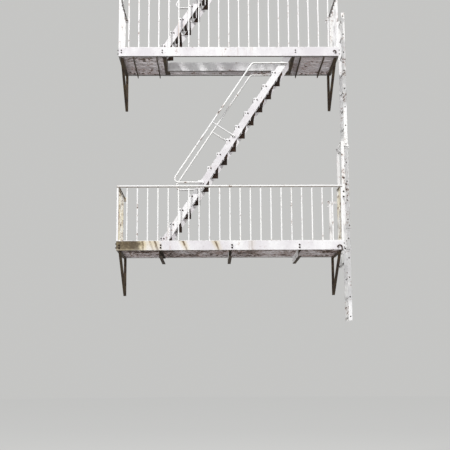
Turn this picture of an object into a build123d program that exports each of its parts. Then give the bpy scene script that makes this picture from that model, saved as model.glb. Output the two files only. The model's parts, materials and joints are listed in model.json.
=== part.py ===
from build123d import *
import os
from math import atan2, cos, sin, tan

# A fire escape stair of painted steel: three balconies held by a wall, two straight flights
# through hatches, and a drop ladder that slides down from the lowest balcony.
# Millimetres, +Z up, the wall's face is the plane Y = 0 and the stair stands on its -Y side.
# The origin is on the wall, at the middle of the lowest balcony's frame.

# Balconies
BALCONIES = ("lower", "middle", "upper")
STOREY = 3050.0            # floor to floor
LENGTH = 3440.0            # over the end channels
DEPTH = 1000.0             # wall to the front channel's face
CHANNEL_H = 140.0
CHANNEL_FLANGE = 50.0
CHANNEL_T = 8.0
SLAT_W = 38.0
SLAT_T = 10.0
SLAT_PITCH = 68.0

# Bearers under the floor
BEARER_X = 1050.0          # middle bearer to the outer ones, lowest balcony
BEARER_H = 100.0
BEARER_FLANGE = 50.0
LIGHT_BEARER_INSET = 230.0  # from the balcony's end, upper balconies
LIGHT_BEARER_STAND = 90.0  # from a trimmer's flange, upper balconies
LIGHT_BEARER_H = 40.0
LIGHT_BEARER_T = 12.0
LEDGE = 30.0               # carries the walkway's slats on a trimmer

# Hatch, cut in each balcony that a flight reaches from below
HATCH_MIDDLE = 0.0         # from the balcony's middle, along X
HATCH_LENGTH = 1970.0
WALKWAY = 280.0            # floor left between the hatch and the wall

# Plates and brackets on the wall
PLATE_W = 180.0
PLATE_RISE = 60.0          # a wall plate's height over its channel
PLATE_T = 12.0
BOLT_HOLE_R = 9.0
PLATE_BOLT_X = 110.0       # hole spacing on a wall plate
BRACKET_LEG = 610.0
BRACKET_REACH = 900.0
BRACKET_BAR = 16.0
BRACKET_W = 42.0
BRACKET_INSET = 26.0       # from the balcony's end
BRACKET_TOE = 30.0
BRACKET_BOLT_TOP = 110.0   # first bolt below the bracket's top
BRACKET_BOLT_Z = 300.0

# Railings
RAILING_H = 980.0          # floor to the rail's top
RAIL_W = 34.0
RAIL_T = 6.0
BALUSTER = 18.0
BALUSTER_PITCH = 155.0
BALUSTER_LAP = 1.0         # let into the rail's angle
POST = 26.0
RAIL_FLANGE = 70.0         # square plate where an end rail meets the wall
RAIL_FLANGE_T = 8.0

# Flights
RISES = 14
FOOT_BACK = 99.0           # flight's foot behind the hatch over it, along X
HEAD_BACK = 54.0           # flight's head before the hatch's end, along X
FLIGHT_W = 580.0           # over the stringers
FLIGHT_GAP = 15.0          # front channel's flange to the near stringer
STRINGER_W = 102.0
STRINGER_T = 10.0
TREAD_BARS = 3
TREAD_BAR_W = 48.0
TREAD_BAR_T = 9.0
TREAD_DEPTH = 170.0
TREAD_CHEEK_H = 76.0
TREAD_CHEEK_T = 6.0
TREAD_DROP = 18.0          # treads below the even steps of the storey
ROUND_SIDES = 12           # sides that a round bar is drawn with
HANDRAIL_D = 27.0
HANDRAIL_RISE = 740.0      # straight up from the nosing line
HANDRAIL_FOOT = 194.0      # flight's foot to the lower bend, along X
HANDRAIL_HEAD = 620.0      # hatch's end to the upper bend, along X
HANDRAIL_TAIL = 85.0       # how far the upper end passes its lug
HANDRAIL_BEND = 60.0
HANDRAIL_STAND = 3.0       # stringer's face to the rail
HANDRAIL_LAP = 42.0        # how far an end passes the stringer's edge
STRUT_D = 22.0
LUG = 50.0                 # square lug between the rail and the stringer
LUG_T = 8.0

# Drop ladder and its guides
LADDER_STAND = 149.0       # end channel's face to the stiles' middle
LADDER_Y = -300.0
LADDER_W = 380.0           # between the stiles' middles
LADDER_BELOW = 1060.0      # ladder's foot under the lowest floor
LADDER_LENGTH = 5000.0
STILE_W = 55.0
STILE_T = 10.0
RUNG_D = 22.0
RUNG_PITCH = 305.0
RUNG_END = 60.0            # stile's foot to the first rung
GUIDE_STAND = 80.0         # end channel's face to the guide rails' middle
GUIDE_SPREAD = 520.0       # between the guide rails' middles
GUIDE_W = 45.0
GUIDE_T = 12.0
GUIDE_BELOW = 200.0        # guide rails' foot under the lowest floor
GUIDE_ABOVE = 1770.0       # guide rails' top over the lowest floor
TIE_H = 40.0
STUB_H = 40.0
SHOE_H = 60.0
SHOE_T = 10.0
SHOE_LIP = 8.0             # how far a jaw passes the stile
SHOE_SIDE_GAP = 2.0
SHOE_GAP = 0.3
LOW_SHOE = 52.0            # shoes' middles over the lowest floor
MIDDLE_SHOE = 382.0
HIGH_SHOE_DROP = 68.0      # highest shoe's middle under the guide rails' top

# Latch post beside the ladder's opening
LATCH_STAND = 134.0        # end channel's face to the post's middle, inwards
LATCH_H = 800.0
LATCH_W = 40.0
LATCH_T = 10.0
LATCH_FOOT_W = 90.0

# Worked out from the sizes above
RISE = STOREY / RISES
HATCH_LEFT = HATCH_MIDDLE - HATCH_LENGTH / 2
HATCH_RIGHT = HATCH_MIDDLE + HATCH_LENGTH / 2
LIGHT_BEARER_XS = (
    LIGHT_BEARER_INSET - LENGTH / 2,
    HATCH_LEFT - CHANNEL_FLANGE - LIGHT_BEARER_STAND,
    HATCH_RIGHT + CHANNEL_FLANGE + LIGHT_BEARER_STAND,
    LENGTH / 2 - LIGHT_BEARER_INSET,
)
FLIGHT_FOOT = HATCH_LEFT - FOOT_BACK
FLIGHT_RUN = HATCH_RIGHT - HEAD_BACK - FLIGHT_FOOT
GOING = FLIGHT_RUN / RISES
SLOPE = atan2(RISE, GOING)
TREAD_BACK = (TREAD_DROP + TREAD_CHEEK_H / 2) / tan(SLOPE)
SLAT_SEAT = CHANNEL_T - CHANNEL_H / 2
FLOOR = SLAT_SEAT + SLAT_T
FLANGE_TIPS = DEPTH - CHANNEL_FLANGE
WALL_TIPS = PLATE_T + CHANNEL_FLANGE
NEAR_STRINGER = FLANGE_TIPS - FLIGHT_GAP
FAR_STRINGER = NEAR_STRINGER - FLIGHT_W
BAND_RISE = STRINGER_W / 2 / cos(SLOPE)
BAND_RUN = STRINGER_W / 2 / sin(SLOPE)
LADDER_X = LENGTH / 2 + LADDER_STAND
LADDER_FOOT = FLOOR - LADDER_BELOW
LADDER_HEAD = LADDER_FOOT + LADDER_LENGTH
GUIDE_X = LENGTH / 2 + GUIDE_STAND
GUIDE_FOOT = FLOOR - GUIDE_BELOW
GUIDE_HEAD = FLOOR + GUIDE_ABOVE
HIGH_SHOE = GUIDE_ABOVE - HIGH_SHOE_DROP
LATCH_X = LENGTH / 2 - LATCH_STAND
STILE_YS = (LADDER_Y - LADDER_W / 2, LADDER_Y + LADDER_W / 2)
GUIDE_YS = (LADDER_Y - GUIDE_SPREAD / 2, LADDER_Y + GUIDE_SPREAD / 2)

os.makedirs("parts", exist_ok=True)


def save(piece, name):
    """Label a finished piece and write its file."""
    piece.part.label = name
    export_step(piece.part, f"parts/{name}.step")


def block(low, high):
    """A square-cornered bar between two corners, added to the piece being built."""
    with Locations(low):
        Box(high[0] - low[0], high[1] - low[1], high[2] - low[2], align=Align.MIN)


def channel_outline(back, toward, middle):
    """A channel's outline in the open sketch: its web at back, its flanges to one side."""
    with Locations((back + toward * CHANNEL_FLANGE / 2, middle)):
        Rectangle(CHANNEL_FLANGE, CHANNEL_H)
    with Locations((back + toward * (CHANNEL_FLANGE + CHANNEL_T) / 2, middle)):
        Rectangle(CHANNEL_FLANGE - CHANNEL_T, CHANNEL_H - 2 * CHANNEL_T, mode=Mode.SUBTRACT)


def long_channel(back, toward, level, half_length):
    """A channel along the wall."""
    with BuildSketch(Plane.YZ.offset(-half_length)) as outline:
        channel_outline(back, toward, level)
    extrude(outline.sketch, amount=2 * half_length)


def cross_channel(back, toward, level, near):
    """A channel square to the wall, its web let in between the long channels' flanges."""
    with BuildSketch(Plane.XZ.offset(near - CHANNEL_FLANGE)) as outline:
        channel_outline(back, toward, level)
    extrude(outline.sketch, amount=WALL_TIPS - near + CHANNEL_FLANGE)
    with BuildSketch(Plane.XZ.offset(near - CHANNEL_T)) as tongue:
        with Locations((back + toward * CHANNEL_T / 2, level)):
            Rectangle(CHANNEL_T, CHANNEL_H - 2 * CHANNEL_T)
    extrude(tongue.sketch, amount=PLATE_T + 2 * CHANNEL_T - near)


def hung_bearer(x, level):
    """A small channel under the frame, with a packer that fills up to the slats."""
    top = level - CHANNEL_H / 2
    with BuildSketch(Plane.XZ) as outline:
        with Locations((x + BEARER_FLANGE / 2, top - BEARER_H / 2)):
            Rectangle(BEARER_FLANGE, BEARER_H)
        with Locations((x + (BEARER_FLANGE + CHANNEL_T) / 2, top - BEARER_H / 2)):
            Rectangle(BEARER_FLANGE - CHANNEL_T, BEARER_H - 2 * CHANNEL_T, mode=Mode.SUBTRACT)
    extrude(outline.sketch, amount=DEPTH)
    block((x, -FLANGE_TIPS, top), (x + BEARER_FLANGE, -WALL_TIPS, level + SLAT_SEAT))


def light_bearer(x, level):
    """A flat bar on edge under the frame, raised to the slats between the long channels."""
    top = level - CHANNEL_H / 2
    with BuildSketch(Plane.YZ.offset(x - LIGHT_BEARER_T / 2)) as outline:
        with Locations((-DEPTH / 2, top - LIGHT_BEARER_H / 2)):
            Rectangle(DEPTH, LIGHT_BEARER_H)
        with Locations((-(FLANGE_TIPS + WALL_TIPS) / 2, top + CHANNEL_T / 2)):
            Rectangle(FLANGE_TIPS - WALL_TIPS, CHANNEL_T)
    extrude(outline.sketch, amount=LIGHT_BEARER_T)


def inner_channel(level):
    """The channel along a hatch, its web to the hatch, let in between the trimmers."""
    with BuildSketch(Plane.YZ.offset(HATCH_LEFT)) as outline:
        channel_outline(-WALKWAY, 1, level)
    extrude(outline.sketch, amount=HATCH_LENGTH)


def trimmer(face, toward, level):
    """A cross channel at a hatch's end, with a ledge on the hatch side for the walkway."""
    cross_channel(face, toward, level, DEPTH)
    inside = sorted((face, face - toward * LEDGE))
    block(
        (inside[0], CHANNEL_FLANGE - WALKWAY, level + SLAT_SEAT - CHANNEL_T),
        (inside[1], -WALL_TIPS, level + SLAT_SEAT),
    )


def round_bar(diameter):
    """A round bar's section in the open sketch, drawn with flat sides."""
    RegularPolygon(diameter / 2, ROUND_SIDES)


def angle_outline(corner, toward, top):
    """An angle iron's outline in the open sketch, its corner outside and at the top."""
    with Locations((corner + toward * RAIL_W / 2, top - RAIL_T / 2)):
        Rectangle(RAIL_W, RAIL_T)
    with Locations((corner + toward * RAIL_T / 2, top - RAIL_W / 2)):
        Rectangle(RAIL_T, RAIL_W)


def spaced(start, end, pitch):
    """Even places from start to end, both left out, as near to the pitch as they divide."""
    spaces = max(round(abs(end - start) / pitch), 1)
    return [start + (end - start) * i / spaces for i in range(1, spaces)]


def uprights(places, width, foot, height):
    """Square bars standing at the given places."""
    with BuildSketch(Plane.XY.offset(foot)) as bars:
        with Locations(*places):
            Rectangle(width, width)
    extrude(bars.sketch, amount=height)


def end_railing(side, near, far, seat, top):
    """A railing across one end, between two distances from the wall."""
    outer = side * LENGTH / 2
    bar_x = outer - side * (RAIL_T + BALUSTER / 2 - BALUSTER_LAP)
    post_x = outer - side * POST / 2
    with BuildSketch(Plane.XZ.offset(near)) as rails:
        angle_outline(outer, -side, top)
        with Locations((outer - side * RAIL_W / 2, seat + RAIL_T / 2)):
            Rectangle(RAIL_W, RAIL_T)
    extrude(rails.sketch, amount=far - near)
    places = [(bar_x, -depth) for depth in spaced(near, far, BALUSTER_PITCH)]
    if places:
        uprights(places, BALUSTER, seat, top - seat - RAIL_T / 2)
    ends = [(post_x, -(near - POST / 2))]
    if far > 0:
        ends.append((post_x, -(far + POST / 2)))
    uprights(ends, POST, seat, top - seat - RAIL_T / 2)
    if far == 0:
        with BuildSketch(Plane.XZ) as flange:
            with Locations((outer - side * RAIL_FLANGE / 2, top - RAIL_FLANGE / 2)):
                Rectangle(RAIL_FLANGE, RAIL_FLANGE)
        extrude(flange.sketch, amount=RAIL_FLANGE_T)


def bracket(side, top):
    """A triangular bracket of flat bar under one end, with its bolt holes."""
    middle = side * (LENGTH / 2 - BRACKET_INSET - BRACKET_W / 2)
    with BuildSketch(Plane.YZ.offset(middle - BRACKET_W / 2)) as triangle:
        with BuildLine():
            Polyline(
                (0, top),
                (-BRACKET_REACH, top),
                (-BRACKET_REACH, top - BRACKET_BAR),
                (-BRACKET_TOE, top - BRACKET_LEG),
                (0, top - BRACKET_LEG),
                close=True,
            )
        make_face()
        offset(amount=-BRACKET_BAR, kind=Kind.INTERSECTION, mode=Mode.SUBTRACT)
    extrude(triangle.sketch, amount=BRACKET_W)
    with BuildSketch(Plane.XZ) as holes:
        with Locations((middle, top - BRACKET_BOLT_TOP - BRACKET_BOLT_Z / 2)):
            with GridLocations(0, BRACKET_BOLT_Z, 1, 2):
                Circle(BOLT_HOLE_R)
    extrude(holes.sketch, amount=BRACKET_BAR, mode=Mode.SUBTRACT)


def nosing(x, floor):
    """Height of the flight's nosing line at a place along it."""
    return floor + (x - FLIGHT_FOOT) * tan(SLOPE)


def stringer(face, floor, over_trimmer):
    """A sloping plate, cut level on the floor below and upright against the hatch's end.

    Its head is level with the frame's top. Where it passes over the end of a hatch, its foot
    is notched round the trimmer there.
    """
    curb = floor - FLOOR + CHANNEL_H / 2
    crown = curb + STOREY
    notch = HATCH_LEFT - CHANNEL_FLANGE
    foot = [(FLIGHT_FOOT + BAND_RUN, floor)]
    if over_trimmer:
        foot = [(notch, floor), (notch, curb), (FLIGHT_FOOT + BAND_RUN + (curb - floor) / tan(SLOPE), curb)]
    with BuildSketch(Plane.XZ.offset(face)) as plate:
        with BuildLine():
            Polyline(
                (FLIGHT_FOOT - BAND_RUN, floor),
                *foot,
                (HATCH_RIGHT, nosing(HATCH_RIGHT, floor) - BAND_RISE),
                (HATCH_RIGHT, crown),
                (FLIGHT_FOOT + (crown - floor) / tan(SLOPE) - BAND_RUN, crown),
                close=True,
            )
        make_face()
    extrude(plate.sketch, amount=-STRINGER_T)


def tread(x, top):
    """An open tread: flat bars between two cheeks that are bolted to the stringers."""
    near = -(NEAR_STRINGER - STRINGER_T)
    far = -(FAR_STRINGER + STRINGER_T)
    pitch = (TREAD_DEPTH - TREAD_BAR_W) / (TREAD_BARS - 1)
    for place in (near, far - TREAD_CHEEK_T):
        block(
            (x - TREAD_DEPTH / 2, place, top - TREAD_CHEEK_H),
            (x + TREAD_DEPTH / 2, place + TREAD_CHEEK_T, top),
        )
    with Locations((x, (near + far) / 2, top - TREAD_BAR_T / 2)):
        with GridLocations(pitch, 0, TREAD_BARS, 1):
            Box(TREAD_BAR_W, far - near, TREAD_BAR_T)


def handrail(face, outward, floor):
    """A round rail beside a stringer, its ends turned back to it and one strut at its middle."""
    y = -(face + outward * (HANDRAIL_STAND + HANDRAIL_D / 2))
    low = FLIGHT_FOOT + HANDRAIL_FOOT
    high = HATCH_RIGHT - HANDRAIL_HEAD
    back = (HANDRAIL_RISE - BAND_RISE) / tan(SLOPE) + HANDRAIL_LAP
    low_z = nosing(low, floor) + HANDRAIL_RISE
    high_z = nosing(high, floor) + HANDRAIL_RISE
    with BuildLine():
        rail = FilletPolyline(
            (low + back, y, low_z),
            (low, y, low_z),
            (high, y, high_z),
            (high + back + HANDRAIL_TAIL, y, high_z),
            radius=HANDRAIL_BEND,
        )
    with BuildSketch(Plane(origin=rail @ 0, z_dir=rail % 0)) as section:
        round_bar(HANDRAIL_D)
    sweep(section.sketch, path=rail)
    middle = Vector((low + high) / 2, y, (low_z + high_z) / 2)
    square = Vector(sin(SLOPE), 0, -cos(SLOPE))
    reach = back * sin(SLOPE)
    with BuildSketch(Plane(origin=middle, z_dir=square)) as strut:
        round_bar(STRUT_D)
    extrude(strut.sketch, amount=reach)
    seat = middle + square * reach
    with BuildSketch(Plane.XZ.offset(face)) as lugs:
        with Locations((low + back, low_z), (high + back, high_z), (seat.X, seat.Z)):
            Rectangle(LUG, LUG)
    extrude(lugs.sketch, amount=outward * LUG_T)


def shoe(level, stile_y, guide_y):
    """A guide shoe: jaws each side of a stile on a plate from the guide rail."""
    out = 1 if guide_y > stile_y else -1
    stile_face = stile_y + out * STILE_T / 2
    back = stile_face + out * SHOE_GAP
    low_x = LADDER_X - STILE_W / 2 - SHOE_SIDE_GAP - SHOE_T
    high_x = LADDER_X + STILE_W / 2 + SHOE_SIDE_GAP + SHOE_T
    lip = stile_y - out * (STILE_T / 2 + SHOE_LIP)
    guide_face = guide_y - out * GUIDE_T / 2
    with BuildSketch(Plane.XY.offset(level - SHOE_H / 2)) as jaws:
        with Locations(((low_x + high_x) / 2, (lip + back + out * SHOE_T) / 2)):
            Rectangle(high_x - low_x, abs(back + out * SHOE_T - lip))
        with Locations((LADDER_X, (lip + back) / 2)):
            Rectangle(STILE_W + 2 * SHOE_SIDE_GAP, abs(back - lip), mode=Mode.SUBTRACT)
    extrude(jaws.sketch, amount=SHOE_H)
    with BuildSketch(Plane.XY.offset(level - SHOE_T / 2)) as plate:
        with BuildLine():
            Polyline(
                (GUIDE_X - GUIDE_W / 2, guide_face),
                (GUIDE_X + GUIDE_W / 2, guide_face),
                (high_x, back + out * SHOE_T),
                (low_x, back + out * SHOE_T),
                close=True,
            )
        make_face()
    extrude(plate.sketch, amount=SHOE_T)


# Balconies
for number, balcony in enumerate(BALCONIES):
    level = number * STOREY
    seat = level + CHANNEL_H / 2
    floor = level + FLOOR
    rail_top = floor + RAILING_H
    has_hatch = number > 0
    plate_places = (HATCH_LEFT, 0, HATCH_RIGHT) if has_hatch else (-BEARER_X, 0, BEARER_X)

    with BuildPart() as front_channel:
        long_channel(-DEPTH, 1, level, LENGTH / 2)
    save(front_channel, f"{balcony}_front_channel")

    with BuildPart() as wall_channel:
        long_channel(-PLATE_T, -1, level, LENGTH / 2)
    save(wall_channel, f"{balcony}_wall_channel")

    with BuildPart() as end_channels:
        for side in (-1, 1):
            cross_channel(side * LENGTH / 2, -side, level, DEPTH)
    save(end_channels, f"{balcony}_end_channels")

    with BuildPart() as bearers:
        if has_hatch:
            trimmer(HATCH_LEFT, -1, level)
            trimmer(HATCH_RIGHT, 1, level)
            for x in LIGHT_BEARER_XS:
                light_bearer(x, level)
        else:
            for x in (-BEARER_X, 0, BEARER_X):
                hung_bearer(x - BEARER_FLANGE / 2, level)
    save(bearers, f"{balcony}_bearers")

    if has_hatch:
        with BuildPart() as inner_trimmer:
            inner_channel(level)
        save(inner_trimmer, f"{balcony}_inner_trimmer")

    with BuildPart() as floor_slats:
        first = FLANGE_TIPS - SLAT_W / 2
        last = WALL_TIPS + SLAT_W / 2
        end = LENGTH / 2 - CHANNEL_T
        for depth in [first] + spaced(first, last, SLAT_PITCH) + [last]:
            runs = [(-end, end)]
            if has_hatch:
                runs = [(-end, HATCH_LEFT - CHANNEL_T), (HATCH_RIGHT + CHANNEL_T, end)]
                if depth + SLAT_W / 2 < WALKWAY - CHANNEL_T:
                    runs.append((HATCH_LEFT, HATCH_RIGHT))
            for start, stop in runs:
                block((start, -depth - SLAT_W / 2, floor - SLAT_T), (stop, -depth + SLAT_W / 2, floor))
    save(floor_slats, f"{balcony}_floor_slats")

    with BuildPart() as front_railing:
        with BuildSketch(Plane.YZ.offset(-LENGTH / 2)):
            angle_outline(-DEPTH, 1, rail_top)
            with Locations((-DEPTH + RAIL_W / 2, seat + RAIL_T / 2)):
                Rectangle(RAIL_W, RAIL_T)
        extrude(amount=LENGTH)
        bars_y = -DEPTH + RAIL_T + BALUSTER / 2 - BALUSTER_LAP
        bars = [(x, bars_y) for x in spaced(-LENGTH / 2, LENGTH / 2, BALUSTER_PITCH)]
        uprights(bars, BALUSTER, seat, rail_top - seat - RAIL_T / 2)
        corners = [(side * (LENGTH - POST) / 2, -DEPTH + POST / 2) for side in (-1, 1)]
        uprights(corners, POST, seat, rail_top - seat - RAIL_T / 2)
    save(front_railing, f"{balcony}_front_railing")

    with BuildPart() as end_railings:
        end_railing(-1, DEPTH - RAIL_W, 0, seat, rail_top)
        if has_hatch:
            end_railing(1, DEPTH - RAIL_W, 0, seat, rail_top)
        else:
            end_railing(1, DEPTH - RAIL_W, -GUIDE_YS[0], seat, rail_top)
    save(end_railings, f"{balcony}_end_railings")

    with BuildPart() as brackets:
        for side in (-1, 1):
            bracket(side, level - CHANNEL_H / 2)
    save(brackets, f"{balcony}_brackets")

    with BuildPart() as wall_plates:
        with BuildSketch(Plane.XZ):
            with Locations(*[(x, level + PLATE_RISE / 2) for x in plate_places]):
                Rectangle(PLATE_W, CHANNEL_H + PLATE_RISE)
            with Locations(*[(x, seat + PLATE_RISE / 2) for x in plate_places]):
                with GridLocations(PLATE_BOLT_X, 0, 2, 1):
                    Circle(BOLT_HOLE_R, mode=Mode.SUBTRACT)
        extrude(amount=PLATE_T)
    save(wall_plates, f"{balcony}_wall_plates")

# Flights, one from each balcony but the last
for number, balcony in enumerate(BALCONIES[:-1]):
    floor = number * STOREY + FLOOR

    with BuildPart() as stringers:
        for face in (NEAR_STRINGER, FAR_STRINGER + STRINGER_T):
            stringer(face, floor, number > 0)
    save(stringers, f"{balcony}_flight_stringers")

    with BuildPart() as treads:
        for i in range(1, RISES):
            tread(FLIGHT_FOOT + i * GOING - TREAD_BACK, floor + i * RISE - TREAD_DROP)
    save(treads, f"{balcony}_flight_treads")

    with BuildPart() as handrails:
        handrail(NEAR_STRINGER, 1, floor)
        handrail(FAR_STRINGER, -1, floor)
    save(handrails, f"{balcony}_flight_handrails")

# Drop ladder
with BuildPart() as ladder_stiles:
    for y in STILE_YS:
        block(
            (LADDER_X - STILE_W / 2, y - STILE_T / 2, LADDER_FOOT),
            (LADDER_X + STILE_W / 2, y + STILE_T / 2, LADDER_HEAD),
        )
save(ladder_stiles, "ladder_stiles")

with BuildPart() as ladder_rungs:
    with BuildSketch(Plane.XZ.offset(-STILE_YS[1] + STILE_T / 2)):
        rungs = int((LADDER_LENGTH - RUNG_END) // RUNG_PITCH) + 1
        with Locations(*[(LADDER_X, LADDER_FOOT + RUNG_END + i * RUNG_PITCH) for i in range(rungs)]):
            round_bar(RUNG_D)
    extrude(amount=LADDER_W - STILE_T)
save(ladder_rungs, "ladder_rungs")

with BuildPart() as guide_rails:
    for y in GUIDE_YS:
        block(
            (GUIDE_X - GUIDE_W / 2, y - GUIDE_T / 2, GUIDE_FOOT),
            (GUIDE_X + GUIDE_W / 2, y + GUIDE_T / 2, GUIDE_HEAD),
        )
        block(
            (LENGTH / 2, y - GUIDE_T / 2, -STUB_H / 2),
            (GUIDE_X, y + GUIDE_T / 2, STUB_H / 2),
        )
    block(
        (LENGTH / 2, GUIDE_YS[0] - GUIDE_T / 2, FLOOR + RAILING_H - STUB_H),
        (GUIDE_X, GUIDE_YS[0] + GUIDE_T / 2, FLOOR + RAILING_H),
    )
    block(
        (GUIDE_X - GUIDE_W / 2, GUIDE_YS[1], FLOOR + HIGH_SHOE - STUB_H),
        (GUIDE_X + GUIDE_W / 2, 0, FLOOR + HIGH_SHOE),
    )
save(guide_rails, "guide_rails")

with BuildPart() as guide_ties:
    for top in (GUIDE_HEAD, GUIDE_FOOT + TIE_H):
        block(
            (GUIDE_X - GUIDE_W / 2, GUIDE_YS[0] + GUIDE_T / 2, top - TIE_H),
            (GUIDE_X - GUIDE_W / 2 + RAIL_T, GUIDE_YS[1] - GUIDE_T / 2, top),
        )
save(guide_ties, "guide_ties")

with BuildPart() as guide_shoes:
    for height in (LOW_SHOE, MIDDLE_SHOE, HIGH_SHOE):
        for stile_y, guide_y in zip(STILE_YS, GUIDE_YS):
            shoe(FLOOR + height, stile_y, guide_y)
save(guide_shoes, "guide_shoes")

# Latch post, standing on the lowest floor in line with the front guide rail
with BuildPart() as latch_post:
    post_y = GUIDE_YS[0]
    block(
        (LATCH_X - LATCH_W / 2, post_y - LATCH_T / 2, FLOOR),
        (LATCH_X + LATCH_W / 2, post_y + LATCH_T / 2, FLOOR + LATCH_H),
    )
    block(
        (LATCH_X - LATCH_FOOT_W / 2, post_y - LATCH_FOOT_W / 2, FLOOR),
        (LATCH_X + LATCH_FOOT_W / 2, post_y + LATCH_FOOT_W / 2, FLOOR + LATCH_T),
    )
    block(
        (LATCH_X - LATCH_W, post_y - LATCH_T / 2, FLOOR + LATCH_H - LATCH_W),
        (LENGTH / 2 - RAIL_W, post_y + LATCH_T / 2, FLOOR + LATCH_H),
    )
save(latch_post, "latch_post")
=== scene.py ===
import json
import math

import bmesh
import bpy
from mathutils import Matrix, Vector


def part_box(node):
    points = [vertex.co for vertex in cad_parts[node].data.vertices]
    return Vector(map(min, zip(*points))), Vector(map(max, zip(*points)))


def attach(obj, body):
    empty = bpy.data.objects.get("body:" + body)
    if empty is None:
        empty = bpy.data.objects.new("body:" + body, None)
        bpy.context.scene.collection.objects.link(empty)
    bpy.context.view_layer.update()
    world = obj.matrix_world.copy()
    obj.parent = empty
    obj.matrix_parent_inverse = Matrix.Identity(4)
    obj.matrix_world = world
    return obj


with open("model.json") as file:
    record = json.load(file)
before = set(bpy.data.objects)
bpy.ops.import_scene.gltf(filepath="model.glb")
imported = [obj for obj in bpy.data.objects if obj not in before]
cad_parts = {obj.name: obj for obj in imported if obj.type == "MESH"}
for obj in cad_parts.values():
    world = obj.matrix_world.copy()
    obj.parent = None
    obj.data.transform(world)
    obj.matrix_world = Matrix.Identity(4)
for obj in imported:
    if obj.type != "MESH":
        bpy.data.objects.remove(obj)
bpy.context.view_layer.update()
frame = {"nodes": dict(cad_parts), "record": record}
nodes = frame["nodes"]

# Camera, at the photograph's place: metres, radians, and pixels for the focal length
PHOTO_SIZE = 450
CAMERA_PLACE = (-0.271, -14.899, -1.876)
CAMERA_PITCH = 0.156
CAMERA_YAW = -0.014
CAMERA_ROLL = -0.006
CAMERA_FOCAL = 928.6
CAMERA_REACH = 200
SENSOR = 36.0

# Studio
GROUND = -3.9
GROUND_RADIUS = 60.0
GROUND_SIDES = 96
GROUND_ROUGHNESS = 0.9
GROUND_SHARE = 0.8                  # how far the ground shows its own colour to the camera
GROUND_GLOW = 1.14
BACKDROP_COLOUR = (0.56, 0.56, 0.55, 1)
SKY_COLOUR = (0.92, 0.95, 1, 1)
SKY_LIGHT = 0.24
LAMPS_AIM = (0, -0.5, 2.5)
LAMPS = (                           # name, place, size in metres and power in watts
    ("key", (-14.5, -17, 23.5), 2.2, 9200),
    ("fill", (5, -20, 3), 8.0, 1300),
    ("back", (2, 10, 9), 6.0, 700),
)

# Paint and rust colours, as linear values
PAINT = (0.83, 0.82, 0.82, 1)
PAINT_SHADE = (0.66, 0.63, 0.65, 1)
PAINT_BRIGHT = (0.86, 0.85, 0.83, 1)
# painted shade: the white paint as it looks in shade under the floors
PAINT_IN_SHADE = (0.43, 0.375, 0.38, 1)
PAINT_YELLOW = (0.72, 0.66, 0.50, 1)
IRON_BLACK = (0.008, 0.006, 0.005, 1)
RUST_BLACK = (0.022, 0.014, 0.010, 1)
RUST_DARK = (0.048, 0.026, 0.017, 1)
RUST_BROWN = (0.115, 0.058, 0.032, 1)
RUST_ORANGE = (0.30, 0.130, 0.055, 1)
RUST_OLIVE = (0.062, 0.044, 0.022, 1)
# dull rust on the fascia's left end, and painted shade along the top rail's lower edge
DULL_RUST_AND_SHADE = (0.075, 0.050, 0.022, 1)
STAIN_CORE = (0.13, 0.080, 0.034, 1)
STAIN_HALO = (0.60, 0.49, 0.27, 1)
GRIME = (0.22, 0.190, 0.180, 1)

# How the paint wears, in metres
EDGE_WEAR = 0.005                   # from an edge
PAINT_BUMP = 0.0007
RUST_BUMP = 0.0009
RAIL_SHADE_LINE = (0.036, 0.019)          # painted shade along the top rail's lower edge, below its top
LEFT_END = -1.36                    # the lowest front channel is rusted to the left of this
LEFT_END_FADE = 0.03
FASCIA_STAINS = (                   # colour, place along X, half width, strength and slant
    (RUST_OLIVE, -1.65, 0.085, 1.00, 0.0),
    (RUST_OLIVE, -1.55, 0.090, 1.00, 0.2),
    (RUST_OLIVE, -1.45, 0.075, 1.00, 0.2),
    (STAIN_CORE, -1.32, 0.020, 0.85, 0.0),
    (STAIN_CORE, -1.19, 0.016, 0.50, 0.3),
    (STAIN_CORE, -1.12, 0.026, 0.95, 0.4),
    (STAIN_CORE, -0.69, 0.018, 1.00, 0.45),
    (STAIN_CORE, -0.20, 0.020, 1.00, 0.4),
    (STAIN_CORE, 0.33, 0.018, 0.25, 0.0),
)

# The stair's own sizes that the finishes and fasteners follow, in metres
BALCONIES = ("lower", "middle", "upper")
FLIGHTS = ("lower", "middle")
STOREY = 3.050
BAND_MIDDLE = -1.050                # where the stringers' middle line meets Z 0
BAND_SLOPE = 0.6607                 # along X for each metre up
TREADS = 13
TREAD_DEPTH = 0.170
TREAD_CHEEK = 0.076
BEARER_FLANGE = 0.050
LIGHT_BEARERS = (1.125, 1.490)
SLATS = 13
SLAT_W = 0.038
PLATE_W = 0.180
BRACKET_W = 0.042
BRACKET_BAR = 0.016
BALUSTER_PITCH = 0.155
RAIL_LEG = 0.034
RAIL_LUG = 0.025                    # half a handrail lug
RAIL_TAIL = 0.085                   # how far a handrail's upper end passes its lug
RAIL_BACK = 0.470                   # a handrail's bend to its lug, along X
LUG_THICK = 0.008
RUNG_PITCH = 0.305
RUNG_END = 0.060
GUIDE_HALF = 0.0225
GATE_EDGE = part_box("guide_rails")[0].y
RAIL_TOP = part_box("lower_front_railing")[1].z

# A bolt of size 1, and rivets
HEAD_ACROSS = 0.024
HEAD_HEIGHT = 0.010
HEAD_CHAMFER = 0.86                 # the head's top, as a share of its width
WASHER_R = 0.017
WASHER_T = 0.0025
STUD_R = 0.006
STUD_LENGTH = 0.008
RIVET_R = 0.008
SMALL_RIVET_R = 0.006
DOME = ((1.0, 0.0), (0.88, 0.42), (0.55, 0.72), (0.0, 0.84))     # a rivet's radii and their heights
RUNG_HEAD_R = 0.011
RUNG_HEAD_T = 0.0002                # thinner than the shoes' gap to the stiles

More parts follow.
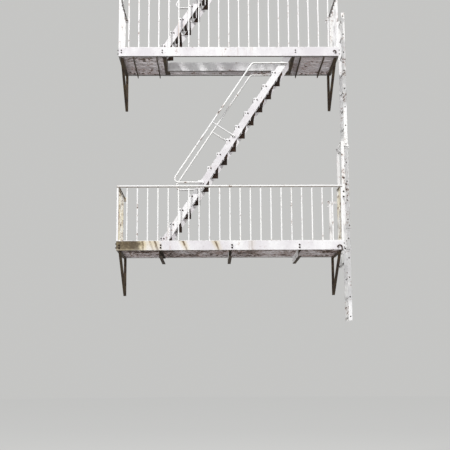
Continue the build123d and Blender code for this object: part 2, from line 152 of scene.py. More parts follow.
# Fasteners on the front channels
LOWER_PAIR = (0.85, 0.040, -0.014)  # bolt size, spacing, height from the channel's middle
HIGHER_PAIR = (0.62, 0.036, 0.006)
PAIR_INSET = 0.043                  # the channel's left end to its bolts
LOWER_PAIR_SHIFT = 0.029            # the middle pair beside its tee, on the lowest balcony
PAIR_PAST_HATCH = 0.055             # the hatch's end to the bolts of its trimmer
END_BOLT = 0.9
END_BOLT_INSETS = (0.025, 0.037)    # from the channel's front, and from the wall
END_BOLT_RISE = 0.03                # above and below the channel's middle
HOOK_R = 0.033
HOOK_WIRE = 0.010
HOOK_INSET = 0.062                  # the channel's right end to the hook's middle
HOOK_DROP = 0.036                   # below the channel's middle
HOOK_STEM = 0.044
HOOK_STUD = 0.017                   # the stud inside it, left of its middle
EYE_R = 0.021                       # the smaller eye on the higher balconies
EYE_WIRE = 0.008
EYE_INSET = 0.066
EYE_DROP = 0.006
EYE_ARC = (math.radians(10), math.radians(260))                  # where it starts, and its turn

# Fasteners on the wall plates, brackets and floors
ANCHOR_NUT = 1.15
ANCHOR_SIDE = 0.055                 # each side of a plate's middle
ANCHOR_DROP = 0.030
BRACKET_LEG_BOLTS = (0.110, 0.410)  # below the bracket's top
BRACKET_ARM_BOLT = 0.9
BRACKET_ARM_INSETS = (0.10, 0.12)   # from the arm's front end, and from the wall
SLAT_RIVET_END = 0.025
SLAT_RIVET_SIDE = 0.010             # each side of a tee's middle

# Fasteners on the railings and flights
SMALL_BOLT = 0.7
RAIL_RIVET_BACK = 0.015             # on the rail's flat top, behind its front
POST_BOLT = (0.045, 0.018, 0.006)   # from the railing's end, front and foot
FLANGE_BOLT = (0.035, 0.008, 0.048)               # from the railing's end, the wall and the top
FLANGE_BOLT_SIDE = 0.022
TIP_BOLT = (-0.070, 0.010, 0.55)    # from a cheek's middle, along X and Z, and the bolt's size
PLATE_BOLT = (-0.029, 0.004, 0.68)  # the same, on the stringer
LUG_BOLT = 0.4
LUG_BOLT_SHIFT = 0.016              # from a lug's middle, both along X and down

# Fasteners on the guides and the latch
GUIDE_BOLT = 0.8
GUIDE_BOLT_DROP = 0.02              # below the railing's top
TIE_BOLT_INSETS = (0.03, 0.02)      # from a tie's ends, and its edges
LATCH_HOOK = (0.012, 0.045)         # from the latch's left side, and below its top
LATCH_HOOK_R = 0.040
LATCH_HOOK_WIRE = 0.008
LATCH_HOOK_ARC = (math.radians(60), math.radians(240))
LATCH_PIVOT = (0.030, 0.005, 0.020)
LATCH_PIVOT_R = 0.010
LATCH_FOOT_BOLTS = (0.016, 0.074)   # from the latch's left side
LATCH_FOOT = (0.015, 0.010)         # from its front and foot


class Surface:
    """A material's node tree, with a short call for each kind of node it needs."""

    def __init__(self, name):
        self.material = bpy.data.materials.new(name)
        self.material.use_nodes = True
        self.tree = self.material.node_tree
        self.shader = self.tree.nodes["Principled BSDF"]
        self.place = self.node("ShaderNodeTexCoord").outputs["Object"]

    def node(self, kind, **values):
        made = self.tree.nodes.new(kind)
        for name, value in values.items():
            setattr(made, name, value)
        return made

    def wire(self, source, socket):
        """Joins a node's output to an input, or sets the input to a plain value."""
        if isinstance(source, bpy.types.NodeSocket):
            self.tree.links.new(source, socket)
        else:
            socket.default_value = source

    def noise(self, scale, detail=4.0, roughness=0.55, stretch=(1, 1, 1), shift=0.0):
        mapping = self.node("ShaderNodeMapping")
        self.wire(self.place, mapping.inputs["Vector"])
        mapping.inputs["Scale"].default_value = stretch
        mapping.inputs["Location"].default_value = (shift, shift, shift)
        texture = self.node("ShaderNodeTexNoise")
        self.wire(mapping.outputs["Vector"], texture.inputs["Vector"])
        texture.inputs["Scale"].default_value = scale
        texture.inputs["Detail"].default_value = detail
        texture.inputs["Roughness"].default_value = roughness
        return texture.outputs["Fac"]

    def band(self, value, low, high, start=0.0, end=1.0):
        """A smooth step of a value, from start at low to end at high."""
        step = self.node("ShaderNodeMapRange", interpolation_type="SMOOTHSTEP")
        self.wire(value, step.inputs["Value"])
        step.inputs["From Min"].default_value = low
        step.inputs["From Max"].default_value = high
        step.inputs["To Min"].default_value = start
        step.inputs["To Max"].default_value = end
        return step.outputs["Result"]

    def reckon(self, operation, first, second=0.0):
        maths = self.node("ShaderNodeMath", operation=operation)
        self.wire(first, maths.inputs[0])
        self.wire(second, maths.inputs[1])
        return maths.outputs[0]

    def times(self, first, second):
        return self.reckon("MULTIPLY", first, second)

    def plus(self, first, second):
        return self.reckon("ADD", first, second)

    def minus(self, first, second):
        return self.reckon("SUBTRACT", first, second)

    def mix(self, amount, first, second):
        blend = self.node("ShaderNodeMix", data_type="RGBA")
        self.wire(amount, blend.inputs["Factor"])
        self.wire(first, blend.inputs[6])
        self.wire(second, blend.inputs[7])
        return blend.outputs[2]

    def part(self, vector, axis):
        """One of a vector's X, Y and Z."""
        parts = self.node("ShaderNodeSeparateXYZ")
        self.wire(vector, parts.inputs[0])
        return parts.outputs[axis]

    def axis(self, name):
        return self.part(self.place, name)

    def normal(self):
        return self.node("ShaderNodeNewGeometry").outputs["Normal"]

    def facing(self, name):
        return self.part(self.normal(), name)

    def edges(self, reach):
        """From 0 on a flat face to 1 at its edges, where a rounded normal leaves the true one."""
        rounded = self.node("ShaderNodeBevel", samples=4)
        rounded.inputs["Radius"].default_value = reach
        dot = self.node("ShaderNodeVectorMath", operation="DOT_PRODUCT")
        self.wire(rounded.outputs["Normal"], dot.inputs[0])
        self.wire(self.normal(), dot.inputs[1])
        return self.band(dot.outputs["Value"], 0.995, 0.80)

    def finish(self, colour, roughness, height, distance):
        """Wires the colour, roughness and bump into the shader."""
        bump = self.node("ShaderNodeBump")
        bump.inputs["Distance"].default_value = distance
        self.wire(height, bump.inputs["Height"])
        self.wire(colour, self.shader.inputs["Base Color"])
        self.wire(roughness, self.shader.inputs["Roughness"])
        self.wire(bump.outputs["Normal"], self.shader.inputs["Normal"])
        return self.material


def stain(surface, colour, core, centre, half_width, strength, slant):
    """Rust that has run down a face about a place along X: a dark ragged core in a pale halo."""
    along = surface.minus(surface.axis("X"), centre)
    leaning = surface.times(surface.axis("Z"), slant)
    wander = surface.minus(surface.noise(9, 6, 0.65, stretch=(1, 1, 0.55), shift=centre), 0.5)
    ragged = surface.times(wander, half_width * 3.2)
    distance = surface.reckon("ABSOLUTE", surface.plus(surface.plus(along, leaning), ragged))
    blotch = surface.band(surface.noise(26, 6, 0.7, shift=centre * 3), 0.32, 0.50, 0.35, 1.0)
    fade = surface.band(surface.axis("Z"), -0.08, 0.03, 0.55, 1.0)
    halo = surface.band(distance, half_width * 4.5, half_width * 0.6, 0, 0.6 * strength)
    colour = surface.mix(surface.times(halo, fade), colour, STAIN_HALO)
    middle = surface.band(distance, half_width * 1.25, half_width * 0.35, 0, strength)
    return surface.mix(surface.times(surface.times(middle, blotch), fade), colour, core)


def weathered_paint(surface, paint, shade):
    """Two tones of paint, faint brush marks and specks of grime."""
    tone = surface.band(surface.noise(1.9, 5, 0.62), 0.36, 0.66)
    colour = surface.mix(tone, shade, paint)
    brush = surface.band(surface.noise(14, 5, 0.6, stretch=(1, 1, 0.25), shift=2), 0.42, 0.70, 0, 0.28)
    colour = surface.mix(brush, colour, shade)
    speckle = surface.band(surface.noise(38, 6, 0.7, shift=3), 0.54, 0.74, 0, 0.45)
    return surface.mix(speckle, colour, GRIME)


def rust_runs(surface, colour, runs):
    """Thin drips of rust, in patches."""
    drips = surface.band(surface.noise(16, 6, 0.62, stretch=(1, 1, 0.07), shift=11), 0.57, 0.68)
    where = surface.noise(1.4, 3, 0.5, shift=7)
    patches = surface.band(where, 0.62 - 0.22 * runs, 0.80 - 0.2 * runs, 0, 0.7)
    return surface.mix(surface.times(drips, patches), colour, RUST_ORANGE)


def painted_steel(name, paint, shade, rust, runs, under, stains=(), rust_and_shade_mark=None):
    """Old paint on steel: soft tones, rust in chips, at edges and in runs, and painted shade, mottled like
    grime, on what faces down.

    rust, runs and under are shares from 0, none, to 1, heavy. A stain is its core's colour, a
    place along X, a half width, a strength and a slant. A rust_and_shade_mark gives, from 0 to 1, where a
    dull colour lies on the paint: rust at the fascia's left end, painted shade under the top rail.
    """
    surface = Surface(name)
    colour = weathered_paint(surface, paint, shade)
    for core, centre, half_width, strength, slant in stains:
        colour = stain(surface, colour, core, centre, half_width, strength, slant)
    colour = rust_runs(surface, colour, runs)

    fine = surface.noise(19, 8, 0.68, shift=23)
    coarse = surface.noise(2.8, 4, 0.6, shift=31)
    worn = surface.plus(surface.times(fine, 0.62), surface.times(coarse, 0.38))
    worn = surface.plus(worn, surface.times(surface.edges(EDGE_WEAR), 0.05 + 0.05 * rust))
    start = 0.655 - 0.14 * rust
    colour = surface.mix(surface.band(worn, start - 0.05, start + 0.01, 0, 0.55), colour, RUST_ORANGE)
    chips = surface.band(worn, start, start + 0.02)
    rusty = surface.mix(surface.band(surface.noise(47, 5, 0.7, shift=5), 0.42, 0.70), RUST_BLACK, RUST_BROWN)
    colour = surface.mix(chips, colour, rusty)

    # painted shade: what faces down goes near-black, in grime-like mottles, by the under share
    down = surface.band(surface.facing("Z"), -0.35, -0.9, 0, under)
    shade_below_colour = surface.mix(surface.band(fine, 0.40, 0.62), RUST_BLACK, RUST_OLIVE)
    colour = surface.mix(down, colour, shade_below_colour)
    # dull rust at the fascia's left end; painted shade under the top rail
    if rust_and_shade_mark:
        colour = surface.mix(rust_and_shade_mark(surface), colour, DULL_RUST_AND_SHADE)

    dull = surface.band(worn, start - 0.1, start + 0.03, 0.46, 0.88)
    height = surface.minus(surface.times(fine, 0.6), chips)
    return surface.finish(colour, dull, height, PAINT_BUMP)


def rusted_steel(name, dark, light, paint_left, paint, lit_faces=None, lit_share=0.0):
    """Rusted steel with some paint left on it, as a share from 0 to 1.

    A lit_faces mask gives, from 0 to 1, where more of the paint shows, by the lit_share: a painted highlight
    on faces that stand in the light.
    """
    surface = Surface(name)
    tone = surface.band(surface.noise(6, 6, 0.66), 0.36, 0.64)
    colour = surface.mix(tone, dark, light)
    grain = surface.noise(75, 7, 0.7, shift=9)
    colour = surface.mix(surface.band(grain, 0.53, 0.74, 0, 0.5), colour, RUST_ORANGE)
    colour = surface.mix(surface.times(surface.edges(EDGE_WEAR), 0.35), colour, RUST_BROWN)

    small = surface.times(surface.noise(17, 8, 0.66, shift=17), 0.6)
    large = surface.times(surface.noise(2.2, 3, 0.5, shift=41), 0.4)
    flakes = surface.plus(small, large)
    # painted highlight: more white paint on the lit faces
    if lit_faces:
        flakes = surface.plus(flakes, surface.times(lit_faces(surface), 0.26 * lit_share))
    start = 0.70 - 0.26 * paint_left
    left = surface.band(flakes, start, start + 0.02)
    colour = surface.mix(left, colour, paint)

    height = surface.plus(surface.times(grain, 0.5), left)
    return surface.finish(colour, surface.band(left, 0, 1, 0.92, 0.6), height, RUST_BUMP)


# Faces turned to -X, the side that faces the light, where more white paint shows as a painted highlight.
def lit_left_faces(surface):
    return surface.band(surface.facing("X"), -0.5, -0.8)


def left_end(surface):
    """The lowest front channel's left end, ragged, where rust has eaten most of the paint."""
    wander = surface.minus(surface.noise(11, 6, 0.65, shift=13), 0.5)
    place = surface.plus(surface.axis("X"), surface.times(wander, 0.16))
    area = surface.band(place, LEFT_END + LEFT_END_FADE, LEFT_END - LEFT_END_FADE)
    low_edge = surface.band(surface.axis("Z"), -0.065, -0.035, 0.45, 1.0)
    patches = surface.band(surface.noise(17, 7, 0.7, shift=29), 0.38, 0.55, 0.62, 0.97)
    return surface.times(area, surface.times(low_edge, patches))


def rail_shade_line(surface):
    """Painted shade along the top rail's lower edge, on each balcony."""
    height = surface.reckon("MODULO", surface.axis("Z"), STOREY)
    foot = RAIL_TOP - RAIL_SHADE_LINE[0]
    head = RAIL_TOP - RAIL_SHADE_LINE[1]
    above = surface.band(height, foot - 0.004, foot)
    return surface.times(above, surface.band(height, head - 0.003, head + 0.003, 0.85, 0))


def lit_cheek_tips(surface):
    """The tread cheeks' outer faces, on the upper side of the stringers' middle line, where they are lit:
    there the white paint shows, while the rest stays rust-black as painted shade.
    """
    height = surface.reckon("MODULO", surface.axis("Z"), STOREY)
    across = surface.minus(surface.axis("X"), surface.times(height, BAND_SLOPE))
    upper = surface.band(across, BAND_MIDDLE + 0.01, BAND_MIDDLE - 0.01)
    return surface.times(upper, surface.band(surface.facing("Y"), -0.5, -0.8))


def show_own_colour(tree, lit, shown, share, output):
    """Mixes a plain colour over a lit shader, as seen but not as light on the object."""
    ray = tree.nodes.new("ShaderNodeLightPath")
    amount = ray.outputs["Is Camera Ray"]
    for kind in ("Is Glossy Ray", "Is Transmission Ray"):
        either = tree.nodes.new("ShaderNodeMath")
        either.operation = "MAXIMUM"
        tree.links.new(amount, either.inputs[0])
        tree.links.new(ray.outputs[kind], either.inputs[1])
        amount = either.outputs[0]
    scaled = tree.nodes.new("ShaderNodeMath")
    scaled.operation = "MULTIPLY"
    scaled.inputs[1].default_value = share
    tree.links.new(amount, scaled.inputs[0])
    blend = tree.nodes.new("ShaderNodeMixShader")
    tree.links.new(scaled.outputs[0], blend.inputs[0])
    tree.links.new(lit, blend.inputs[1])
    tree.links.new(shown, blend.inputs[2])
    tree.links.new(blend.outputs[0], output.inputs["Surface"])


def pale_stage(name, colour):
    """The studio floor: it takes a soft shadow, and shows its own colour far off too."""
    surface = Surface(name)
    surface.shader.inputs["Base Color"].default_value = colour
    surface.shader.inputs["Roughness"].default_value = GROUND_ROUGHNESS
    glow = surface.node("ShaderNodeEmission")
    glow.inputs["Color"].default_value = colour
    glow.inputs["Strength"].default_value = GROUND_GLOW
    output = surface.tree.nodes["Material Output"]
    show_own_colour(surface.tree, surface.shader.outputs[0], glow.outputs[0], GROUND_SHARE, output)
    return surface.material


def dress_nodes():
    """Gives each CAD node the finish of its material slot, or one of its own."""
    finishes = {
        "frame_paint": painted_steel("frame_paint", PAINT, PAINT_SHADE, 0.20, 0.35, 0.9),
        "railing_paint": painted_steel(
            "railing_paint", PAINT_BRIGHT, PAINT, 0.35, 0.2, 0.8, rust_and_shade_mark=rail_shade_line
        ),
        "ladder_paint": painted_steel("ladder_paint", PAINT_BRIGHT, PAINT, 0.42, 0.2, 0.6),
        # painted shade: the floors' white paint is given its shaded tones
        "floor_paint": painted_steel("floor_paint", PAINT_SHADE, PAINT_IN_SHADE, 0.70, 0.2, 0.1),
        # treads rust-black: worn rust, and painted shade under the treads and on the cheeks' shaded parts
        "worn_tread": rusted_steel("worn_tread", RUST_BLACK, RUST_DARK, 0.0, PAINT, lit_cheek_tips, 1.9),
        "wall_plate": rusted_steel("wall_plate", RUST_DARK, RUST_BROWN, 0.8, PAINT_SHADE),
        # the paint left on it is the shaded tone: painted shade
        "rusty_underside": rusted_steel("rusty_underside", RUST_BLACK, RUST_OLIVE, 0.2, PAINT_IN_SHADE),
    }
    own = {
        "lower_front_channel": painted_steel(
            "stained_fascia", PAINT, PAINT_SHADE, 0.20, 0.5, 0.9, FASCIA_STAINS, left_end
        ),
        # painted shade on the lowest floor too, with more rust chips
        "lower_floor_slats": painted_steel("lower_floor_shaded_paint", PAINT_SHADE, PAINT_IN_SHADE, 1.0, 0.2, 0.1),
        "lower_end_railings": painted_steel("stained_railing", PAINT_BRIGHT, PAINT_YELLOW, 0.70, 0.8, 0.8),
        # the white paint on the bearers' left faces is a painted highlight
        "lower_bearers": rusted_steel("worn_bearer", RUST_BLACK, RUST_OLIVE, 0.1, PAINT, lit_left_faces, 1.0),
    }
    for part in frame["record"]["subparts"]:
        node = nodes[part["node"]]
        node.data.materials.clear()
        node.data.materials.append(own.get(part["node"], finishes[part["material_slot"]]))
    return finishes


class Pile:
    """One joined mesh of many like small things, all on one body."""

    def __init__(self, name, body, slot):
        self.name = name
        self.body = body
        self.slot = slot
        self.mesh = bmesh.new()

    def turned(self, centre, normal):
        """A matrix that stands a shape's +Z along a normal, at a place."""
        return Matrix.Translation(centre) @ Vector(normal).to_track_quat("Z", "Y").to_matrix().to_4x4()

    def disc(self, centre, normal, radius, height, sides, top_radius=None):
        """A short prism or frustum that stands on a face."""
        stand = self.turned(centre, normal) @ Matrix.Translation((0, 0, height / 2))
        top = radius if top_radius is None else top_radius
        bmesh.ops.create_cone(
            self.mesh, cap_ends=True, segments=sides, radius1=radius, radius2=top, depth=height, matrix=stand
        )

    def bolt(self, centre, normal, size=1.0):
        """A hexagon head on a washer, its top edge chamfered, with the stud's end showing."""
        normal = Vector(normal).normalized()
        centre = Vector(centre)
        radius = HEAD_ACROSS * size / math.sqrt(3)
        height = HEAD_HEIGHT * size
        self.disc(centre, normal, WASHER_R * size, WASHER_T, 20, WASHER_R * size * 0.97)
        seat = centre + normal * WASHER_T
        self.disc(seat, normal, radius, height * 0.8, 6)
        self.disc(seat + normal * height * 0.8, normal, radius, height * 0.2, 6, radius * HEAD_CHAMFER)
        self.disc(seat + normal * height, normal, STUD_R * size, STUD_LENGTH * size, 12, STUD_R * size * 0.8)

    def rivet(self, centre, normal, radius=RIVET_R):
        """A domed head, as three rings and a cap."""
        normal = Vector(normal).normalized()
        centre = Vector(centre)
        for (low, start), (high, end) in zip(DOME, DOME[1:]):
            seat = centre + normal * radius * start
            self.disc(seat, normal, radius * low, radius * (end - start), 12, radius * high)

    def arc(self, centre, normal, radius, wire, start, turn, steps=28, sides=10):
        """Part of a ring of round wire, in the plane square to a normal, with both ends closed."""
        stand = self.turned(centre, normal)
        loops = []
        for i in range(steps + 1):
            angle = start + turn * i / steps
            loop = []
            for j in range(sides):
                around = 2 * math.pi * j / sides
                reach = radius + wire * math.cos(around)
                point = (reach * math.cos(angle), reach * math.sin(angle), wire * math.sin(around))
                loop.append(self.mesh.verts.new(stand @ Vector(point)))
            loops.append(loop)
        for first, second in zip(loops, loops[1:]):
            for j in range(sides):
                k = (j + 1) % sides
                self.mesh.faces.new((first[j], first[k], second[k], second[j]))
        self.mesh.faces.new(loops[0][::-1])
        self.mesh.faces.new(loops[-1])

    def finish(self, material):
        """Makes the pile one object that rides on its body."""
        bmesh.ops.recalc_face_normals(self.mesh, faces=self.mesh.faces)
        data = bpy.data.meshes.new(self.name)
        self.mesh.to_mesh(data)
        self.mesh.free()
        data.materials.append(material)
        piece = bpy.data.objects.new(self.name, data)
        bpy.context.scene.collection.objects.link(piece)
        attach(piece, self.body)


def spaced(start, end, pitch):
    """Even places between two ends, as near to the pitch as they divide."""
    spaces = max(round(abs(end - start) / pitch), 1)
    return [start + (end - start) * i / spaces for i in range(1, spaces)]


def crossings(balcony):
    """Where bearers or trimmers cross a balcony, along X."""
    if balcony == "lower":
        low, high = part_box("lower_bearers")
        ends = (low.x + BEARER_FLANGE / 2, high.x - BEARER_FLANGE / 2)
        return (ends[0], 0.0, ends[1])
    low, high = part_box(f"{balcony}_inner_trimmer")
    return (low.x - PAIR_PAST_HATCH, high.x + PAIR_PAST_HATCH)


def fascia_bolts(balcony):
    """Bolt pairs on the front channel at its left end and each crossing, and at the channels' corners."""
    low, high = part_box(f"{balcony}_front_channel")
    level = (low.z + high.z) / 2
    pile = Pile(f"{balcony}_fascia_bolts", "structure", "frame_paint")
    places = [low.x + PAIR_INSET, *crossings(balcony)]
    size, spacing, lift = HIGHER_PAIR
    if balcony == "lower":
        places[2] += LOWER_PAIR_SHIFT
        size, spacing, lift = LOWER_PAIR
    for x in places:
        for shift in (-spacing / 2, spacing / 2):
            pile.bolt((x, low.y, level + lift + shift), (0, -1, 0), size)
    for side, x in ((-1, low.x), (1, high.x)):
        for y in (low.y + END_BOLT_INSETS[0], -END_BOLT_INSETS[1]):
            for drop in (-END_BOLT_RISE, END_BOLT_RISE):
                pile.bolt((x, y, level + drop), (side, 0, 0), END_BOLT)
    pile.finish(bolt_paint)


def fascia_hook(balcony):
    """An open hook at the front channel's right end, with a stem on the lowest balcony."""
    low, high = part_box(f"{balcony}_front_channel")
    level = (low.z + high.z) / 2
    hook = Pile(f"{balcony}_fascia_hook", "structure", "rusty_underside")
    if balcony == "lower":
        x = high.x - HOOK_INSET
        z = level - HOOK_DROP
        y = low.y - HOOK_WIRE
        hook.arc((x, y, z), (0, 1, 0), HOOK_R, HOOK_WIRE, 0, math.pi)
        hook.disc((x + HOOK_R, y, z), (0, 0, -1), HOOK_WIRE, HOOK_STEM, 10)
        hook.disc((x - HOOK_STUD, low.y, z), (0, -1, 0), STUD_R, STUD_LENGTH, 12)
    else:
        place = (high.x - EYE_INSET, low.y - EYE_WIRE, level - EYE_DROP)
        hook.arc(place, (0, 1, 0), EYE_R, EYE_WIRE, *EYE_ARC)
    hook.finish(dark_iron)


def wall_fasteners(balcony):
    """Nuts on the wall plates and on the brackets' legs, and bolts up through the brackets."""
    low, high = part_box(f"{balcony}_wall_plates")
    pile = Pile(f"{balcony}_anchor_nuts", "structure", "wall_plate")
    for x in (low.x + PLATE_W / 2, 0.0, high.x - PLATE_W / 2):
        for side in (-1, 1):
            pile.bolt((x + side * ANCHOR_SIDE, low.y, high.z - ANCHOR_DROP), (0, -1, 0), ANCHOR_NUT)
    low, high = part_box(f"{balcony}_brackets")
    for x in (low.x + BRACKET_W / 2, high.x - BRACKET_W / 2):
        for drop in BRACKET_LEG_BOLTS:
            pile.bolt((x, -BRACKET_BAR, high.z - drop), (0, -1, 0), ANCHOR_NUT)
        for y in (low.y + BRACKET_ARM_INSETS[0], -BRACKET_ARM_INSETS[1]):
            pile.bolt((x, y, high.z - BRACKET_BAR), (0, 0, -1), BRACKET_ARM_BOLT)
    pile.finish(dark_iron)


def floor_rivets(balcony):
    """Rivets through the slats at their ends and where they cross what carries them."""
    low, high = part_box(f"{balcony}_floor_slats")
    pile = Pile(f"{balcony}_slat_rivets", "structure", "floor_paint")
    first = low.y + SLAT_W / 2
    last = high.y - SLAT_W / 2
    rows = [first + (last - first) * i / (SLATS - 1) for i in range(SLATS)]
    ends = (low.x + SLAT_RIVET_END, high.x - SLAT_RIVET_END)
    if balcony == "lower":
        lines = [x + shift for x in crossings(balcony) for shift in (-SLAT_RIVET_SIDE, SLAT_RIVET_SIDE)]
    else:
        trimmer_low, trimmer_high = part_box(f"{balcony}_inner_trimmer")
        lines = [trimmer_low.x - BEARER_FLANGE / 2, trimmer_high.x + BEARER_FLANGE / 2]
        lines += [side * x for x in LIGHT_BEARERS for side in (-1, 1)]
    for y in rows:
        for x in (*ends, *lines):
            pile.rivet((x, y, high.z), (0, 0, 1))
        for x in ends:
            pile.rivet((x, y, low.z), (0, 0, -1))
    pile.finish(finishes["floor_paint"])


def railing_rivets(balcony):
    """A rivet on the rail for each baluster, front and ends, and bolts at the posts' feet."""
    low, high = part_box(f"{balcony}_front_railing")
    pile = Pile(f"{balcony}_railing_rivets", "structure", "railing_paint")
    rivet_z = high.z - RAIL_LEG / 2
    for x in spaced(low.x, high.x, BALUSTER_PITCH):
        pile.rivet((x, low.y, rivet_z), (0, -1, 0), SMALL_RIVET_R)
        pile.rivet((x, low.y + RAIL_RIVET_BACK, high.z), (0, 0, 1), SMALL_RIVET_R)
    end_low, end_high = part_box(f"{balcony}_end_railings")
    for side, x in ((-1, low.x), (1, high.x)):
        gate = balcony == "lower" and side == 1
        for y in spaced(end_low.y, 0.0, BALUSTER_PITCH):
            if gate and y > GATE_EDGE:
                continue
            pile.rivet((x, y, rivet_z), (side, 0, 0), SMALL_RIVET_R)
        foot = (x - side * POST_BOLT[0], low.y + POST_BOLT[1], low.z + POST_BOLT[2])
        pile.bolt(foot, (0, 0, 1), SMALL_BOLT)
        if not gate:
            middle = x - side * FLANGE_BOLT[0]
            for shift in (-FLANGE_BOLT_SIDE, FLANGE_BOLT_SIDE):
                place = (middle + shift, -FLANGE_BOLT[1], high.z - FLANGE_BOLT[2])
                pile.bolt(place, (0, -1, 0), SMALL_BOLT)
    pile.finish(finishes["railing_paint"])


def flight_fasteners(flight):
    """Bolt pairs on both stringers at each tread, and bolts at the handrails' lugs."""
    low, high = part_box(f"{flight}_flight_treads")
    plate_low, plate_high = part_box(f"{flight}_flight_stringers")
    going = (high.x - low.x - TREAD_DEPTH) / (TREADS - 1)
    rise = (high.z - low.z - TREAD_CHEEK) / (TREADS - 1)
    pile = Pile(f"{flight}_flight_bolts", "structure", "frame_paint")
    for i in range(TREADS):
        x = low.x + TREAD_DEPTH / 2 + i * going
        z = low.z + TREAD_CHEEK / 2 + i * rise
        for outward, tip_face, plate_face in ((-1, low.y, plate_low.y), (1, high.y, plate_high.y)):
            pile.bolt((x + TIP_BOLT[0], tip_face, z + TIP_BOLT[1]), (0, outward, 0), TIP_BOLT[2])
            pile.bolt((x + PLATE_BOLT[0], plate_face, z + PLATE_BOLT[1]), (0, outward, 0), PLATE_BOLT[2])

    rail_low, rail_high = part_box(f"{flight}_flight_handrails")
    slope = math.atan2(rise, going)
    top = Vector((rail_high.x - RAIL_TAIL, 0, rail_high.z - RAIL_LUG))
    foot_z = rail_low.z + RAIL_LUG
    foot = Vector((top.x - (top.z - foot_z) / math.tan(slope), 0, foot_z))
    middle = (top + foot) / 2 - Vector((RAIL_BACK, 0, 0))
    seat = middle + Vector((math.sin(slope), 0, -math.cos(slope))) * RAIL_BACK * math.sin(slope)
    for spot in (foot, top, seat):
        z = spot.z - LUG_BOLT_SHIFT
        for x in (spot.x - LUG_BOLT_SHIFT, spot.x + LUG_BOLT_SHIFT):
            pile.bolt((x, plate_low.y - LUG_THICK, z), (0, -1, 0), LUG_BOLT)
            pile.bolt((x, plate_high.y + LUG_THICK, z), (0, 1, 0), LUG_BOLT)
    pile.finish(bolt_paint)


def ladder_rivets():
    """The rungs' ends, riveted flush on the outside of the stiles so that they pass the shoes."""
    low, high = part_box("ladder_stiles")
    x = (low.x + high.x) / 2
    pile = Pile("ladder_rivets", "ladder", "ladder_paint")
    rungs = int((high.z - low.z - RUNG_END) // RUNG_PITCH) + 1
    for i in range(rungs):
        z = low.z + RUNG_END + i * RUNG_PITCH
        for face, outward in ((low.y, -1), (high.y, 1)):
            pile.disc((x, face, z), (0, outward, 0), RUNG_HEAD_R, RUNG_HEAD_T, 16, RUNG_HEAD_R * 0.8)
    pile.finish(bolt_paint)


def guide_fasteners():
    """Bolts on the guide rails at their lugs and shoes, and at the ties' ends."""
    low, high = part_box("guide_rails")
    tie_low, tie_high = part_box("guide_ties")
    shoe_low, shoe_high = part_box("guide_shoes")
    pile = Pile("guide_bolts", "structure", "ladder_paint")
    middle = high.x - GUIDE_HALF
    for z in (0.0, (shoe_low.z + shoe_high.z) / 2, RAIL_TOP - GUIDE_BOLT_DROP):
        pile.bolt((middle, low.y, z), (0, -1, 0), GUIDE_BOLT)
    along, across = TIE_BOLT_INSETS
    for y in (tie_low.y + along, tie_high.y - along):
        for z in (tie_low.z + across, tie_high.z - across):
            pile.bolt((tie_low.x, y, z), (-1, 0, 0), SMALL_BOLT)
    pile.finish(bolt_paint)


def latch_details():
    """The latch's hook on its arm, a flat bar bent over at its end, and the post's foot bolts."""
    low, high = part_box("latch_post")
    y = (low.y + high.y) / 2
    pile = Pile("latch_details", "structure", "ladder_paint")
    hook = (low.x + LATCH_HOOK[0], y, high.z - LATCH_HOOK[1])
    pile.arc(hook, (0, 1, 0), LATCH_HOOK_R, LATCH_HOOK_WIRE, *LATCH_HOOK_ARC)
    pivot = (low.x + LATCH_PIVOT[0], y - LATCH_PIVOT[1], high.z - LATCH_PIVOT[2])
    pile.rivet(pivot, (0, -1, 0), LATCH_PIVOT_R)
    for inset in LATCH_FOOT_BOLTS:
        pile.bolt((low.x + inset, low.y + LATCH_FOOT[0], low.z + LATCH_FOOT[1]), (0, 0, 1), SMALL_BOLT)
    pile.finish(finishes["ladder_paint"])


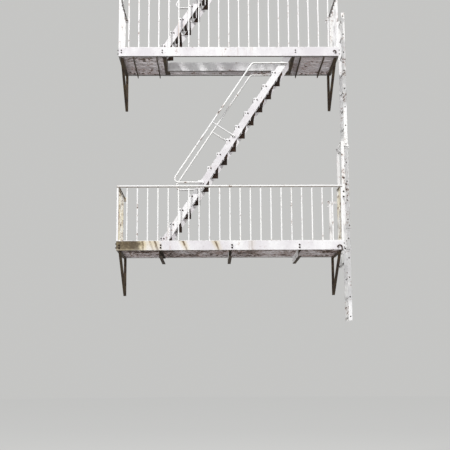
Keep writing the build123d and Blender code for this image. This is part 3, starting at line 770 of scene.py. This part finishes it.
def studio():
    """A pale floor under a pale world, with soft lamps in front, above and behind."""
    mesh = bpy.data.meshes.new("studio_floor")
    disc = bmesh.new()
    bmesh.ops.create_circle(disc, cap_ends=True, segments=GROUND_SIDES, radius=GROUND_RADIUS)
    disc.to_mesh(mesh)
    disc.free()
    floor = bpy.data.objects.new("studio_floor", mesh)
    floor.location.z = GROUND
    bpy.context.scene.collection.objects.link(floor)
    mesh.materials.append(pale_stage("studio_floor", BACKDROP_COLOUR))

    world = bpy.data.worlds.new("studio")
    bpy.context.scene.world = world
    world.use_nodes = True
    tree = world.node_tree
    lighting = tree.nodes["Background"]
    lighting.inputs["Color"].default_value = SKY_COLOUR
    lighting.inputs["Strength"].default_value = SKY_LIGHT
    shown = tree.nodes.new("ShaderNodeBackground")
    shown.inputs["Color"].default_value = BACKDROP_COLOUR
    show_own_colour(tree, lighting.outputs[0], shown.outputs[0], 1.0, tree.nodes["World Output"])

    for name, place, size, power in LAMPS:
        lamp = bpy.data.lights.new(name, "AREA")
        lamp.shape = "DISK"
        lamp.size = size
        lamp.energy = power
        holder = bpy.data.objects.new(name, lamp)
        holder.location = place
        holder.rotation_euler = (Vector(LAMPS_AIM) - Vector(place)).to_track_quat("-Z", "Y").to_euler()
        bpy.context.scene.collection.objects.link(holder)


def photo_camera():
    """The camera at the photograph's place, its axes from yaw, pitch and roll."""
    data = bpy.data.cameras.new("camera")
    data.sensor_width = SENSOR
    data.lens = CAMERA_FOCAL / PHOTO_SIZE * SENSOR
    data.clip_end = CAMERA_REACH
    camera = bpy.data.objects.new("camera", data)
    bpy.context.scene.collection.objects.link(camera)
    forward = Vector((
        -math.sin(CAMERA_YAW) * math.cos(CAMERA_PITCH),
        math.cos(CAMERA_YAW) * math.cos(CAMERA_PITCH),
        math.sin(CAMERA_PITCH),
    ))
    level = Vector((math.cos(CAMERA_YAW), math.sin(CAMERA_YAW), 0))
    above = level.cross(forward)
    right = math.cos(CAMERA_ROLL) * level + math.sin(CAMERA_ROLL) * above
    up = -math.sin(CAMERA_ROLL) * level + math.cos(CAMERA_ROLL) * above
    turn = Matrix((right, up, -forward)).transposed().to_4x4()
    camera.matrix_world = Matrix.Translation(CAMERA_PLACE) @ turn
    bpy.context.scene.camera = camera


finishes = dress_nodes()
bolt_paint = rusted_steel("bolt_paint", IRON_BLACK, RUST_BLACK, 0.0, PAINT_SHADE)
dark_iron = rusted_steel("dark_iron", IRON_BLACK, RUST_DARK, 0.1, PAINT_SHADE)
for balcony in BALCONIES:
    fascia_bolts(balcony)
    fascia_hook(balcony)
    wall_fasteners(balcony)
    floor_rivets(balcony)
    railing_rivets(balcony)
for flight in FLIGHTS:
    flight_fasteners(flight)
ladder_rivets()
guide_fasteners()
latch_details()

studio()
photo_camera()
bpy.context.scene.view_settings.view_transform = "Standard"
